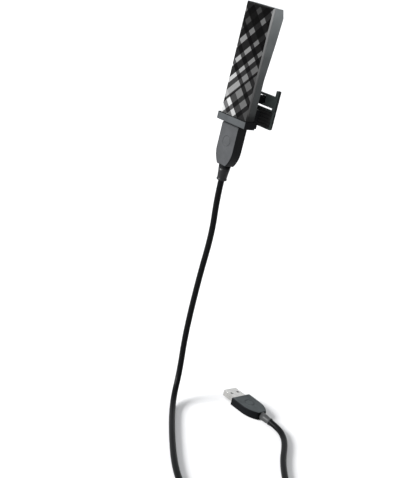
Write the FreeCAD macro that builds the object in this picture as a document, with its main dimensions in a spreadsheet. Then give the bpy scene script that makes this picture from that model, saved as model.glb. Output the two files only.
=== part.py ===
import FreeCAD, Part

# USB wifi stick standing in a clip-on cradle, with the cradle's extension cable.
#
# Millimetres. +Z runs up along the stick, X across its width, and -Y is the side its patterned cover
# faces. The origin is on the edge that the clip hangs on: Z = 0 is the top of that edge and Y = 0 is
# its front face, where the rubber front pad presses.

import math
import os
import re

import Sketcher
from FreeCAD import Matrix, Placement, Rotation, Vector

SIZES = {
    # the stick's case
    "stick_width": 27.0,
    "front_face": -15.0,
    "stick_foot": -13.2,
    "stick_top": 66.0,
    "wall": 1.2,
    "cover_thick": 1.4,
    "cover_bevel": 0.9,
    "cover_lip": 0.9,
    "case_round": 0.6,
    # how far the back of the case stands behind the front face, going down the stick
    "top_depth": 8.7,
    "deep_depth": 10.7,
    "deep_height": 60.5,
    "mid_depth": 9.6,
    "mid_height": 43.5,
    "low_depth": 7.3,
    "low_height": 19.0,
    "foot_depth": 7.2,
    # the circuit board and what is soldered to it
    "board_half": 11.7,
    "board_front": -12.1,
    "board_back": -11.3,
    "board_foot": -8.4,
    "board_top": 62.0,
    "board_hole": 0.9,
    "can_size": 15.0,
    "can_height": 1.7,
    "can_sheet": 0.2,
    "can_middle": 22.0,
    "chip_size": 9.0,
    "chip_height": 0.9,
    "antenna_sheet": 0.3,
    "antenna_rise": 3.4,
    "antenna_width": 8.0,
    "antenna_length": 14.0,
    "antenna_foot": 45.0,
    "slot_inset": 3.4,
    "slot_wide": 1.0,
    "slot_end": 2.0,
    "capacitor_long": 1.0,
    "capacitor_wide": 0.6,
    "capacitor_pitch": 2.0,
    "capacitor_first": -8.0,
    "capacitor_height": 22.0,
    # the button and the light on the left edge
    "button_height": 28.0,
    "button_y": -9.85,
    "button_long": 6.0,
    "button_wide": 1.8,
    "button_gap": 0.15,
    "button_proud": 0.6,
    "flange_thick": 0.4,
    "flange_side": 0.3,
    "flange_end": 0.8,
    "switch_half": 2.2,
    "light_height": 38.0,
    "light_y": -9.6,
    "light_radius": 0.8,
    "light_proud": 0.5,
    # a type A plug, and the socket that takes it
    "plug_y": -11.3,
    "plug_wide": 12.0,
    "plug_thick": 4.5,
    "plug_sheet": 0.3,
    "plug_reach": 12.3,
    "plug_root": 4.8,
    "tongue_thick": 1.9,
    "contact_wide": 1.0,
    "contact_thick": 0.15,
    "contact_inner": 1.0,
    "contact_outer": 3.5,
    "latch_middle": 3.2,
    "latch_half": 1.1,
    "latch_deep": 7.0,
    "latch_shallow": 5.0,
    "socket_wide": 13.1,
    "socket_thick": 5.7,
    "socket_deep": 15.1,
    "socket_tongue_thick": 1.3,
    "socket_tongue_half": 5.3,
    "socket_tongue_face": 0.35,
    "socket_block": 2.0,
    # the moulded grip at the cable's socket end
    "socket_grip_width": 17.2,
    "socket_grip_thick": 8.6,
    "socket_grip_length": 29.0,
    "socket_grip_corner": 23.7,
    "socket_grip_tip": 4.5,
    "socket_grip_shoulder": 18.4,
    "grip_round": 1.1,
    "grip_top": -15.6,
    "neck_half_x": 7.3,
    "neck_half_y": 3.6,
    "socket_relief_length": 11.0,
    "socket_relief_top": 4.3,
    "socket_relief_end": 3.4,
    # the moulded grip at its plug end, flatter and shorter
    "plug_grip_width": 18.4,
    "plug_grip_thick": 6.2,
    "plug_grip_length": 25.0,
    "plug_grip_corner": 19.0,
    "plug_grip_tip": 3.8,
    "plug_grip_shoulder": 17.0,
    "plug_relief_length": 9.5,
    "plug_relief_top": 3.05,
    "plug_relief_end": 2.8,
    # the cradle
    "collar_half": 14.4,
    "collar_front": -16.3,
    "collar_back": -6.6,
    "collar_top": -10.0,
    "collar_foot": -15.2,
    "collar_floor": -13.4,
    "collar_round": 0.7,
    "stick_fit": 0.15,
    "leg_front": -7.45,
    "leg_back": -1.0,
    "leg_half": 10.5,
    "leg_top": -2.0,
    "leg_wall": 1.4,
    "bridge_half": 6.0,
    "bridge_under": 1.9,
    "bridge_top": 7.0,
    "bridge_dip": 5.95,
    "bridge_dip_y": 3.0,
    "bridge_slant": 1.5,
    # the hinge of the clip
    "hinge_y": 6.4,
    "hinge_z": 4.6,
    "barrel_radius": 2.6,
    "pin_radius": 0.8,
    "pin_fit": 0.05,
    "pin_left": 16.7,
    "pin_right": 10.5,
    "spring_half": 1.7,
    "spring_radius": 1.7,
    "spring_wire": 0.25,
    "spring_pitch": 0.7,
    "spring_turns": 4,
    "spring_rear_leg": 1.9,
    "spring_front_leg": 3.1,
    "small_gap": 0.1,
    # the jaw behind the edge
    "jaw_front": 5.2,
    "jaw_back": 7.6,
    "jaw_half": 17.2,
    "jaw_top": 9.0,
    "jaw_foot": -14.0,
    "tab_top": 13.4,
    "tab_inner": 14.6,
    "window_half": 14.4,
    "window_foot": -0.7,
    "window_top": 0.8,
    "notch_half": 6.3,
    "notch_foot": 1.65,
    "notch_top": 7.5,
    "tab_round": 0.6,
    "jaw_foot_round": 1.5,
    "jaw_edge_round": 0.4,
    "pad_seat": 6.0,
    "pad_face": 4.9,
    "groove_deep": 0.35,
    "groove_half": 0.3,
    # the cable
    "cable_diameter": 4.4,
    "table": -225.0,
    "coil_x": 141.0,
    "coil_y": -56.0,
    "coil_inner": 15.25,
    "coil_outer": 28.75,
    "coil_foot": -224.3,
    "coil_top": -215.8,
    "coil_round": 1.7,
    "tie_wide": 6.0,
    "tie_thick": 0.7,
    # the plug that lies on the table
    "far_plug_x": 30.4,
    "far_plug_y": 34.4,
}

DOC = FreeCAD.newDocument("usb_wifi_adapter")
SHEET = DOC.addObject("Spreadsheet::Sheet", "Sizes")
NODES = []


def fill_sheet():
    """Write every driving size into the sheet under its own alias."""
    for row, (name, value) in enumerate(SIZES.items(), start=1):
        SHEET.set("A%d" % row, name)
        SHEET.set("B%d" % row, str(value))
        SHEET.setAlias("B%d" % row, name)
    DOC.recompute()


def formula(text):
    """Point each size named in a formula at its cell."""
    return re.sub(r"[a-z_]+", lambda m: "Sizes." + m[0] if m[0] in SIZES else m[0], str(text))


def bind(thing, **formulas):
    """Bind properties to formulas; two underscores in a name stand for a dot."""
    for name, text in formulas.items():
        thing.setExpression(name.replace("__", "."), formula(text))
    return thing


def node(thing, label):
    """Give a sub-part the name its file takes."""
    thing.Label = label
    NODES.append(thing)
    return thing


# ---- Part primitives and booleans ----


def box(name, x, y, z):
    """A box from its low and high formula on each axis."""
    thing = DOC.addObject("Part::Box", name)
    bind(thing, Length="(%s) - (%s)" % (x[1], x[0]), Width="(%s) - (%s)" % (y[1], y[0]),
         Height="(%s) - (%s)" % (z[1], z[0]))
    return bind(thing, Placement__Base__x=x[0], Placement__Base__y=y[0], Placement__Base__z=z[0])


def cylinder(name, radius, length, turn, x, y, z):
    """A cylinder that starts at a point; turn takes its own Z to its direction."""
    thing = DOC.addObject("Part::Cylinder", name)
    bind(thing, Radius=radius, Height=length)
    thing.Placement = Placement(Vector(), turn)
    return bind(thing, Placement__Base__x=x, Placement__Base__y=y, Placement__Base__z=z)


def fuse(name, things):
    thing = DOC.addObject("Part::MultiFuse", name)
    thing.Shapes = things
    return thing


def cut(name, base, tool):
    thing = DOC.addObject("Part::Cut", name)
    thing.Base = base
    thing.Tool = tool
    return thing


ALONG_X = Rotation(Vector(0, 1, 0), 90)
ALONG_Y = Rotation(Vector(1, 0, 0), -90)
ALONG_Z = Rotation()


# ---- PartDesign bodies ----


def new_body(name):
    return DOC.addObject("PartDesign::Body", name)


def sketch_on(body, plane, offset="0"):
    """A sketch on one of a body's origin planes, moved along the plane's normal."""
    sketch = body.newObject("Sketcher::SketchObject", body.Name + "_sketch")
    support = [part for part in body.Origin.OriginFeatures if part.Role == plane][0]
    sketch.AttachmentSupport = [(support, "")]
    sketch.MapMode = "FlatFace"
    return bind(sketch, AttachmentOffset__Base__z=offset)


def pin_point(sketch, line, end, point):
    """Hold one end of a line at a pair of formulas."""
    for kind, text in zip(("DistanceX", "DistanceY"), point):
        index = sketch.addConstraint(Sketcher.Constraint(kind, -1, 1, line, end, 1.0))
        sketch.setExpression("Constraints[%d]" % index, formula(text))


def outline(sketch, points):
    """A closed outline of straight lines through points given as pairs of formulas."""
    count = len(points)
    first = sketch.GeometryCount
    ring = [Vector(9 * math.cos(2 * math.pi * i / count), 9 * math.sin(2 * math.pi * i / count), 0)
            for i in range(count)]
    for i in range(count):
        sketch.addGeometry(Part.LineSegment(ring[i], ring[(i + 1) % count]))
    for i in range(count):
        sketch.addConstraint(Sketcher.Constraint("Coincident", first + i, 2, first + (i + 1) % count, 1))
    for i, point in enumerate(points):
        pin_point(sketch, first + i, 1, point)
    return sketch


def rectangle(sketch, x, y):
    return outline(sketch, [(x[0], y[0]), (x[1], y[0]), (x[1], y[1]), (x[0], y[1])])


def circle(sketch, middle, radius):
    index = sketch.addGeometry(Part.Circle(Vector(0, 0, 0), Vector(0, 0, 1), 1.0))
    pin_point(sketch, index, 3, middle)
    size = sketch.addConstraint(Sketcher.Constraint("Radius", index, 1.0))
    sketch.setExpression("Constraints[%d]" % size, formula(radius))
    return sketch


def extrude(body, kind, sketch, length, both=False, reverse=False):
    """A pad along the sketch's normal, or a pocket against it; both spreads it to either side."""
    feature = body.newObject("PartDesign::" + kind, body.Name + "_" + kind.lower())
    feature.Profile = sketch
    if both:
        feature.SideType = "Symmetric"
    feature.Reversed = reverse
    bind(feature, Length=length)
    DOC.recompute()
    return feature


def soften(body, kind, size, wanted):
    """A fillet or chamfer on the tip's edges whose middle point the test picks."""
    tip = body.Tip
    names = []
    for number, edge in enumerate(tip.Shape.Edges, start=1):
        middle = edge.valueAt((edge.FirstParameter + edge.LastParameter) / 2)
        if wanted(middle, edge):
            names.append("Edge%d" % number)
    if not names:
        raise ValueError("no edge to soften on " + body.Name)
    feature = body.newObject("PartDesign::" + kind, body.Name + "_" + kind.lower())
    feature.Base = (tip, names)
    bind(feature, **{"Radius" if kind == "Fillet" else "Size": size})
    DOC.recompute()
    return feature


def runs_along(edge, axis):
    """Whether a straight edge runs along an axis."""
    if not isinstance(edge.Curve, Part.Line):
        return False
    return abs(abs(edge.Curve.Direction.dot(axis)) - 1) < 1e-6


def near(value, size):
    return abs(value - size) < 0.02


X, Y, Z = Vector(1, 0, 0), Vector(0, 1, 0), Vector(0, 0, 1)


# ---- the stick's case ----


def front_cover():
    """The flat patterned cover, bevelled all round, with a lip that snaps into the shell."""
    body = new_body("front_cover")
    back = "-(front_face + cover_thick)"
    face = rectangle(sketch_on(body, "XZ_Plane", back), ("-stick_width / 2", "stick_width / 2"),
                     ("stick_foot", "stick_top"))
    extrude(body, "Pad", face, "cover_thick")
    soften(body, "Chamfer", "cover_bevel", lambda m, e: near(m.y, SIZES["front_face"]))
    lip = sketch_on(body, "XZ_Plane", back)
    for inset in ("wall", "wall + cover_lip"):
        rectangle(lip, ("-stick_width / 2 + " + inset, "stick_width / 2 - (%s)" % inset),
                  ("board_foot - 1 + " + inset, "stick_top - (%s)" % inset))
    extrude(body, "Pad", lip, "cover_lip", reverse=True)
    return node(body, "front_cover")


def case_profile(inset):
    """The side view of the rear shell, drawn in by a wall thickness."""
    def deeper(depth):
        return "front_face + %s - (%s)" % (depth, inset)

    return [
        ("front_face + cover_thick", "stick_foot + (%s)" % inset),
        ("front_face + cover_thick", "stick_top - (%s)" % inset),
        (deeper("top_depth"), "stick_top - (%s)" % inset),
        (deeper("deep_depth"), "deep_height"),
        (deeper("mid_depth"), "mid_height"),
        (deeper("low_depth"), "low_height"),
        (deeper("foot_depth"), "stick_foot + (%s)" % inset),
    ]


def rear_shell():
    """The grey tub: thick at the antenna end, thin where the plug comes out."""
    body = new_body("rear_shell")
    extrude(body, "Pad", outline(sketch_on(body, "YZ_Plane"), case_profile("0")), "stick_width", both=True)
    open_side = SIZES["front_face"] + SIZES["cover_thick"]
    soften(body, "Fillet", "case_round", lambda m, e: m.y > open_side + 0.1
           and not (runs_along(e, Y) and m.z < 0))
    extrude(body, "Pocket", outline(sketch_on(body, "YZ_Plane"), case_profile("wall")),
            "stick_width - 2 * wall", both=True)
    plug = rectangle(sketch_on(body, "XY_Plane", "stick_foot + wall"), ("-plug_wide / 2", "plug_wide / 2"),
                     ("plug_y - plug_thick / 2", "plug_y + plug_thick / 2"))
    extrude(body, "Pocket", plug, "2 * wall")
    side = sketch_on(body, "YZ_Plane", "-(stick_width / 2 - wall)")
    rectangle(side, ("button_y - button_wide / 2 - button_gap", "button_y + button_wide / 2 + button_gap"),
              ("button_height - button_long / 2 - button_gap",
               "button_height + button_long / 2 + button_gap"))
    circle(side, ("light_y", "light_height"), "light_radius")
    extrude(body, "Pocket", side, "2 * wall")
    return node(body, "rear_shell")


# ---- the circuit board ----


def circuit_board():
    body = new_body("circuit_board")
    sheet = rectangle(sketch_on(body, "XZ_Plane", "-board_back"), ("-board_half", "board_half"),
                      ("board_foot", "board_top"))
    for side in ("-", ""):
        circle(sheet, (side + "(board_half - 2)", "board_top - 22"), "board_hole")
        circle(sheet, (side + "(board_half - 2)", "board_foot + 8"), "board_hole")
    extrude(body, "Pad", sheet, "board_back - board_front")
    return node(body, "circuit_board")


def shield_can():
    """The pressed cover over the radio chip, open towards the board."""
    half = "can_size / 2"
    outer = box("can_outer", ("-" + half, half), ("board_back", "board_back + can_height"),
                ("can_middle - " + half, "can_middle + " + half))
    inner = box("can_inner", ("can_sheet - " + half, half + " - can_sheet"),
                ("board_back - 1", "board_back + can_height - can_sheet"),
                ("can_middle - %s + can_sheet" % half, "can_middle + %s - can_sheet" % half))
    return node(cut("shield_can", outer, inner), "shield_can")


def radio_chip():
    """The radio chip and the pad that carries its heat to the can."""
    x = ("-chip_size / 2", "chip_size / 2")
    z = ("can_middle - chip_size / 2", "can_middle + chip_size / 2")
    node(box("wifi_chip", x, ("board_back", "board_back + chip_height"), z), "wifi_chip")
    top = ("board_back + chip_height", "board_back + can_height - can_sheet")
    node(box("thermal_pad", x, top, z), "thermal_pad")


def antenna(side):
    """A folded sheet antenna: a plate held off the board by a leg, with one slot in it."""
    name = "antenna_" + side
    sign = "-" if side == "left" else ""
    inner = sign + "2"
    outer = sign + "(2 + antenna_width)"
    x = (outer, inner) if side == "left" else (inner, outer)
    rise = "board_back + antenna_rise"
    z = ("antenna_foot", "antenna_foot + antenna_length")
    plate = box(name + "_plate", x, (rise + " - antenna_sheet", rise), z)
    leg = box(name + "_leg", x, ("board_back", rise), ("antenna_foot", "antenna_foot + antenna_sheet"))
    slot = box(name + "_slot", ("(%s) + slot_inset" % x[0], "(%s) + slot_inset + slot_wide" % x[0]),
               (rise + " - 1", rise + " + 1"),
               ("antenna_foot + slot_end", "antenna_foot + antenna_length - slot_end"))
    return node(cut(name, fuse(name + "_sheet", [plate, leg]), slot), name)


# each chip on the board's front: left, right, foot, top and height
FRONT_CHIPS = {
    "memory_chip": ("-8.5", "-3.5", "10", "14", "0.9"),
    "crystal": ("3", "6.2", "12", "14.5", "0.8"),
}
CAPACITORS = 8


def small_parts():
    """What sits on the board's front: memory, crystal and a row of capacitors."""
    for name, (left, right, foot, top, height) in FRONT_CHIPS.items():
        node(box(name, (left, right), ("board_front - " + height, "board_front"), (foot, top)), name)
    row = []
    for index in range(CAPACITORS):
        left = "capacitor_first + %d * capacitor_pitch" % index
        row.append(box("capacitor_%d" % index, (left, left + " + capacitor_long"),
                       ("board_front - capacitor_wide", "board_front"),
                       ("capacitor_height", "capacitor_height + capacitor_wide")))
    node(fuse("chip_capacitors", row), "chip_capacitors")


def button_and_light():
    """The pairing button with its switch, and the light with its clear pipe, on the left edge."""
    wall_in = "-(stick_width / 2 - wall)"
    y = ("button_y - button_wide / 2", "button_y + button_wide / 2")
    z = ("button_height - button_long / 2", "button_height + button_long / 2")
    seat = wall_in + " + small_gap"
    head = box("button_head", ("-(stick_width / 2 + button_proud)", seat), y, z)
    flange = box("button_flange", (seat, seat + " + flange_thick"),
                 (y[0] + " - flange_side", y[1] + " + flange_side"),
                 (z[0] + " - flange_end", z[1] + " + flange_end"))
    node(fuse("wps_button", [head, flange]), "wps_button")
    node(box("wps_switch", ("-(board_half - 0.5)", "-(board_half - 3.9)"), ("board_back", "board_back + 2.4"),
             ("button_height - switch_half", "button_height + switch_half")), "wps_switch")
    pipe = cylinder("light_pipe", "light_radius", "wall + light_proud", ALONG_X, "-stick_width / 2",
                    "light_y", "light_height")
    node(pipe, "light_pipe")
    node(box("activity_led", ("-(board_half - 0.1)", "-(board_half - 1.7)"),
             ("board_back", "board_back + 2.2"),
             ("light_height - light_radius", "light_height + light_radius")), "activity_led")


# ---- type A plug and socket ----

PLUG_MIDDLE = "table + plug_grip_thick / 2"
UPSIDE_DOWN = Rotation(X, 180)
TOWARDS_MINUS_X = Rotation(Matrix(0, 0, -1, 0, -1, 0, 0, 0, 0, 1, 0, 0, 0, 0, 0, 1))


def lay(thing, turn, x, y, z):
    """Turn a piece that was drawn about its own mouth, and take the mouth to a place."""
    thing.Placement = Placement(Vector(), turn)
    return bind(thing, Placement__Base__x=x, Placement__Base__y=y, Placement__Base__z=z)


def four_strips(name, y, z):
    """The four contacts, side by side on their tongue."""
    strips = []
    for index, middle in enumerate(("-contact_outer", "-contact_inner", "contact_inner", "contact_outer")):
        x = (middle + " - contact_wide / 2", middle + " + contact_wide / 2")
        strips.append(box("%s_%d" % (name, index), x, y, z))
    return fuse(name, strips)


def type_a_plug(prefix, turn, x, y, z):
    """The metal shell, its plastic tongue and four contacts; the mouth plane is Z = 0, outward is +Z."""
    shell = new_body(prefix + "_shell")
    ring = sketch_on(shell, "XY_Plane", "-plug_root")
    for inset in ("0", "plug_sheet"):
        rectangle(ring, ("-plug_wide / 2 + " + inset, "plug_wide / 2 - " + inset),
                  ("-plug_thick / 2 + " + inset, "plug_thick / 2 - " + inset))
    extrude(shell, "Pad", ring, "plug_root + plug_reach")
    windows = sketch_on(shell, "XZ_Plane")
    for middle in ("-latch_middle", "latch_middle"):
        rectangle(windows, (middle + " - latch_half", middle + " + latch_half"),
                  ("plug_reach - latch_deep", "plug_reach - latch_shallow"))
    extrude(shell, "Pocket", windows, "2 * plug_thick", both=True)
    node(lay(shell, turn, x, y, z), prefix + "_shell")

    inner = ("-plug_wide / 2 + plug_sheet", "plug_wide / 2 - plug_sheet")
    high = "plug_thick / 2 - plug_sheet"
    low = high + " - tongue_thick"
    blade = box(prefix + "_blade", inner, (low, high), ("-plug_root", "plug_reach - 0.4"))
    block = box(prefix + "_block", inner, ("-(%s)" % high, high), ("-plug_root", "-1"))
    node(lay(fuse(prefix + "_tongue", [blade, block]), turn, x, y, z), prefix + "_tongue")
    strips = four_strips(prefix + "_contacts", (low + " - contact_thick", low), ("-1", "plug_reach - 1.5"))
    node(lay(strips, turn, x, y, z), prefix + "_contacts")


def type_a_socket(prefix, x, y, z):
    """The receptacle: a shell open upwards, its tongue, and four contacts; the mouth is Z = 0."""
    half_x, half_y = "socket_wide / 2", "socket_thick / 2"
    outer = box(prefix + "_outer", ("-" + half_x, half_x), ("-" + half_y, half_y), ("-socket_deep", "0"))
    inner = box(prefix + "_inner", ("plug_sheet - " + half_x, half_x + " - plug_sheet"),
                ("plug_sheet - " + half_y, half_y + " - plug_sheet"), ("plug_sheet - socket_deep", "1"))
    node(lay(cut(prefix + "_shell", outer, inner), ALONG_Z, x, y, z), prefix + "_shell")
    face = "socket_tongue_face"
    blade = box(prefix + "_blade", ("-socket_tongue_half", "socket_tongue_half"),
                (face, face + " + socket_tongue_thick"), ("plug_sheet - socket_deep", "-1"))
    block = box(prefix + "_block", ("plug_sheet - " + half_x, half_x + " - plug_sheet"),
                ("plug_sheet - " + half_y, half_y + " - plug_sheet"),
                ("plug_sheet - socket_deep", "plug_sheet - socket_deep + socket_block"))
    node(lay(fuse(prefix + "_tongue", [blade, block]), ALONG_Z, x, y, z), prefix + "_tongue")
    strips = four_strips(prefix + "_contacts", (face + " - contact_thick", face),
                         ("plug_sheet - socket_deep + socket_block", "-2"))
    node(lay(strips, ALONG_Z, x, y, z), prefix + "_contacts")


def grip(name, turn, x, y, z):
    """The moulded grip of a cable end: flat-fronted, round-shouldered; its mouth face is Z = 0."""
    body = new_body(name)
    wide, tip = name + "_width / 2", name + "_tip"
    front = outline(sketch_on(body, "XZ_Plane"), [
        ("-" + wide, "0"), (wide, "0"), (wide, "-%s_corner" % name), (tip, "-%s_length" % name),
        ("-" + tip, "-%s_length" % name), ("-" + wide, "-%s_corner" % name)])
    extrude(body, "Pad", front, name + "_thick", both=True)
    soften(body, "Fillet", name + "_shoulder", lambda m, e: near(m.z, -SIZES[name + "_corner"])
           and runs_along(e, Y))
    soften(body, "Fillet", "grip_round", lambda m, e: near(abs(m.y), SIZES[name + "_thick"] / 2))
    return lay(body, turn, x, y, z)


def socket_grip():
    """The grip that holds the socket, with a neck that stands up into the cradle's collar."""
    body = grip("socket_grip", ALONG_Z, "0", "plug_y", "grip_top")
    neck = rectangle(sketch_on(body, "XY_Plane"), ("-neck_half_x", "neck_half_x"),
                     ("-neck_half_y", "neck_half_y"))
    extrude(body, "Pad", neck, "collar_floor - grip_top")
    bore = rectangle(sketch_on(body, "XY_Plane", "collar_floor - grip_top"),
                     ("-socket_wide / 2", "socket_wide / 2"), ("-socket_thick / 2", "socket_thick / 2"))
    extrude(body, "Pocket", bore, "socket_deep")
    return node(body, "socket_grip")


def plug_grip():
    """The grip that holds the plug which goes into the computer."""
    body = grip("plug_grip", TOWARDS_MINUS_X, "far_plug_x", "far_plug_y", PLUG_MIDDLE)
    bore = rectangle(sketch_on(body, "XY_Plane"), ("-plug_wide / 2", "plug_wide / 2"),
                     ("-plug_thick / 2", "plug_thick / 2"))
    extrude(body, "Pocket", bore, "plug_root")
    return node(body, "plug_grip")


def relief(name, turn, x, y, z):
    """The short tapered strain relief behind a grip; Z = 0 is the end that the cable leaves."""
    thing = DOC.addObject("Part::Cone", name)
    bind(thing, Radius1=name + "_end", Radius2=name + "_top", Height=name + "_length")
    return node(lay(thing, turn, x, y, z), name)


# ---- the cradle and its clip ----


def cradle_body():
    """Collar, leg, bridge and hinge barrel, moulded in one piece."""
    body = new_body("cradle_body")
    collar = rectangle(sketch_on(body, "XY_Plane", "collar_foot"), ("-collar_half", "collar_half"),
                       ("collar_front", "collar_back"))
    extrude(body, "Pad", collar, "collar_top - collar_foot")
    soften(body, "Fillet", "collar_round", lambda m, e: m.y < SIZES["collar_back"] - 0.1
           and (runs_along(e, Z) or m.y < SIZES["collar_front"] + 0.1))
    leg = rectangle(sketch_on(body, "XY_Plane", "collar_foot"), ("-leg_half", "leg_half"),
                    ("leg_front", "leg_back"))
    extrude(body, "Pad", leg, "leg_top - collar_foot")
    stick = rectangle(sketch_on(body, "XY_Plane", "collar_top"),
                      ("-stick_width / 2 - stick_fit", "stick_width / 2 + stick_fit"),
                      ("front_face - stick_fit", "front_face + foot_depth + stick_fit"))
    extrude(body, "Pocket", stick, "collar_top - collar_floor")
    neck = rectangle(sketch_on(body, "XY_Plane", "collar_floor"), ("-neck_half_x", "neck_half_x"),
                     ("plug_y - neck_half_y", "plug_y + neck_half_y"))
    extrude(body, "Pocket", neck, "2 * (collar_floor - collar_foot)")
    bridge = outline(sketch_on(body, "YZ_Plane"), [
        ("leg_front", "leg_top"), ("leg_back", "leg_top"), ("leg_back", "bridge_under"),
        ("hinge_y", "hinge_z - barrel_radius"), ("hinge_y", "bridge_dip"), ("bridge_dip_y", "bridge_dip"),
        ("leg_back", "bridge_top"), ("leg_front + bridge_slant", "bridge_top"),
        ("leg_front", "bridge_top - bridge_slant")])
    extrude(body, "Pad", bridge, "2 * bridge_half", both=True)
    barrel = circle(sketch_on(body, "YZ_Plane"), ("hinge_y", "hinge_z"), "barrel_radius")
    extrude(body, "Pad", barrel, "2 * bridge_half", both=True)
    hole = circle(sketch_on(body, "YZ_Plane"), ("hinge_y", "hinge_z"), "pin_radius")
    extrude(body, "Pocket", hole, "4 * bridge_half", both=True)
    gap = circle(sketch_on(body, "YZ_Plane"), ("hinge_y", "hinge_z"), "barrel_radius + small_gap")
    extrude(body, "Pocket", gap, "2 * spring_half", both=True)
    hollow = rectangle(sketch_on(body, "XZ_Plane", "-leg_back"),
                       ("leg_wall - leg_half", "leg_half - leg_wall"),
                       ("collar_foot + leg_wall", "leg_top - leg_wall"))
    extrude(body, "Pocket", hollow, "leg_back - leg_front - leg_wall", reverse=True)
    return node(body, "cradle_body")


def ribbed_pad(name, x, y, z, face_low, grooves):
    """A rubber pad with shallow grooves across the face that grips."""
    base = box(name + "_base", x, y, z)
    tools = []
    for index in range(grooves):
        middle = "(%s) + ((%s) - (%s)) * %d / %d" % (z[0], z[1], z[0], index + 1, grooves + 1)
        side = (y[1] + " - groove_deep", y[1] + " + 1")
        if face_low:
            side = (y[0] + " - 1", y[0] + " + groove_deep")
        tools.append(box("%s_groove_%d" % (name, index), (x[0] + " - 1", x[1] + " + 1"), side,
                         (middle + " - groove_half", middle + " + groove_half")))
    return node(cut(name, base, fuse(name + "_grooves", tools)), name)


def clamp_jaw():
    """The frame behind the edge: thumb tabs, a plate with a hole for the hinge, and a bar for the pad."""
    body = new_body("clamp_jaw")
    front = outline(sketch_on(body, "XZ_Plane", "-jaw_back"), [
        ("-jaw_half", "jaw_foot"), ("jaw_half", "jaw_foot"), ("jaw_half", "tab_top"),
        ("tab_inner", "tab_top"), ("tab_inner", "jaw_top"), ("-tab_inner", "jaw_top"),
        ("-tab_inner", "tab_top"), ("-jaw_half", "tab_top")])
    extrude(body, "Pad", front, "jaw_back - jaw_front")
    soften(body, "Fillet", "tab_round", lambda m, e: runs_along(e, Y) and near(m.z, SIZES["tab_top"]))
    soften(body, "Fillet", "jaw_foot_round", lambda m, e: runs_along(e, Y) and near(m.z, SIZES["jaw_foot"]))
    soften(body, "Fillet", "jaw_edge_round", lambda m, e: near(m.y, SIZES["jaw_back"]))
    holes = sketch_on(body, "XZ_Plane")
    rectangle(holes, ("-window_half", "window_half"), ("window_foot", "window_top"))
    rectangle(holes, ("-notch_half", "notch_half"), ("notch_foot", "notch_top"))
    extrude(body, "Pocket", holes, "4 * jaw_back", both=True)
    seat = rectangle(sketch_on(body, "XZ_Plane", "-jaw_front"), ("-jaw_half - 1", "jaw_half + 1"),
                     ("jaw_foot - 1", "window_foot"))
    extrude(body, "Pocket", seat, "pad_seat - jaw_front")
    hole = circle(sketch_on(body, "YZ_Plane", "pin_right + pin_fit"), ("hinge_y", "hinge_z"),
                  "pin_radius + pin_fit")
    extrude(body, "Pocket", hole, "2 * jaw_half")
    return node(body, "clamp_jaw")


def hinge_pin():
    return node(cylinder("hinge_pin", "pin_radius", "pin_left + pin_right", ALONG_X, "-pin_left", "hinge_y",
                         "hinge_z"), "hinge_pin")


def torsion_spring():
    """Four turns of wire on the pin, one leg along the bridge and one under the jaw's web."""
    turns, pitch = SIZES["spring_turns"], SIZES["spring_pitch"]
    radius, wire = SIZES["spring_radius"], SIZES["spring_wire"]
    helix = Part.makeHelix(pitch, turns * pitch, radius)
    profile = Part.Wire(Part.Circle(Vector(radius, 0, 0), Y, wire).toShape())
    coil = Part.Wire(helix.Edges).makePipeShell([profile], True, True)
    start, end = Vector(radius, 0, 0), Vector(radius, 0, turns * pitch)
    rear_leg = Part.makeCylinder(wire, SIZES["spring_rear_leg"], start, -Y)
    front_leg = Part.makeCylinder(wire, SIZES["spring_front_leg"], end, Y)
    shape = coil.fuse([rear_leg, front_leg])
    # the spring's own X, Y and Z become the cradle's Z, -Y and X
    thing = DOC.addObject("Part::Feature", "torsion_spring")
    thing.Shape = shape
    turn = Rotation(Matrix(0, 0, 1, 0, 0, -1, 0, 0, 1, 0, 0, 0, 0, 0, 0, 1))
    thing.Placement = Placement(Vector(-turns * pitch / 2, SIZES["hinge_y"], SIZES["hinge_z"]), turn)
    return node(thing, "torsion_spring")


# ---- the cable ----

TABLE_LINE = SIZES["table"] + SIZES["cable_diameter"] / 2

# down from the socket's strain relief, over onto the table, and away to the coil
DROP_ROUTE = [
    (0.0, -11.3, -55.6),
    (0.0, -11.3, -84.0),
    (-0.6, -9.8, -131.0),
    (-0.3, -9.2, -176.0),
    (1.6, -10.2, -207.0),
    (13.0, -19.5, TABLE_LINE),
    (46.0, -46.0, TABLE_LINE),
    (86.0, -75.0, TABLE_LINE),
    (112.0, -85.6, TABLE_LINE),
    (136.0, -82.7, TABLE_LINE),
]

# off the top of the coil, along the table, and up into the plug's strain relief
LEAD_ROUTE = [
    (157.8, -38.6, -218.6),
    (144.1, -25.3, -220.6),
    (122.0, -7.5, TABLE_LINE),
    (105.0, 7.5, TABLE_LINE),
    (91.8, 22.9, TABLE_LINE),
    (82.9, 30.6, -222.6),
    (73.9, 34.2, -222.1),
    (64.9, 34.4, -221.9),
]


def rounded_path(points):
    """Straight runs joined by arcs as large as 0.45 of the shorter run allows, with their radii."""
    points = [Vector(*point) for point in points]
    edges, radii = [], []
    start = points[0]
    for before, corner, after in zip(points, points[1:], points[2:]):
        arriving, leaving = (corner - before).normalize(), (after - corner).normalize()
        half_turn = arriving.getAngle(leaving) / 2
        trim = 0.45 * min((corner - before).Length, (after - corner).Length)
        radius = trim / math.tan(half_turn)
        radii.append(radius)
        first, last = corner - arriving * trim, corner + leaving * trim
        middle_way = (leaving - arriving).normalize()
        middle = corner + middle_way * (radius / math.cos(half_turn) - radius)
        edges.append(Part.LineSegment(start, first).toShape())
        edges.append(Part.Arc(first, middle, last).toShape())
        start = last
    edges.append(Part.LineSegment(start, points[-1]).toShape())
    return Part.Wire(edges), radii


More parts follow.
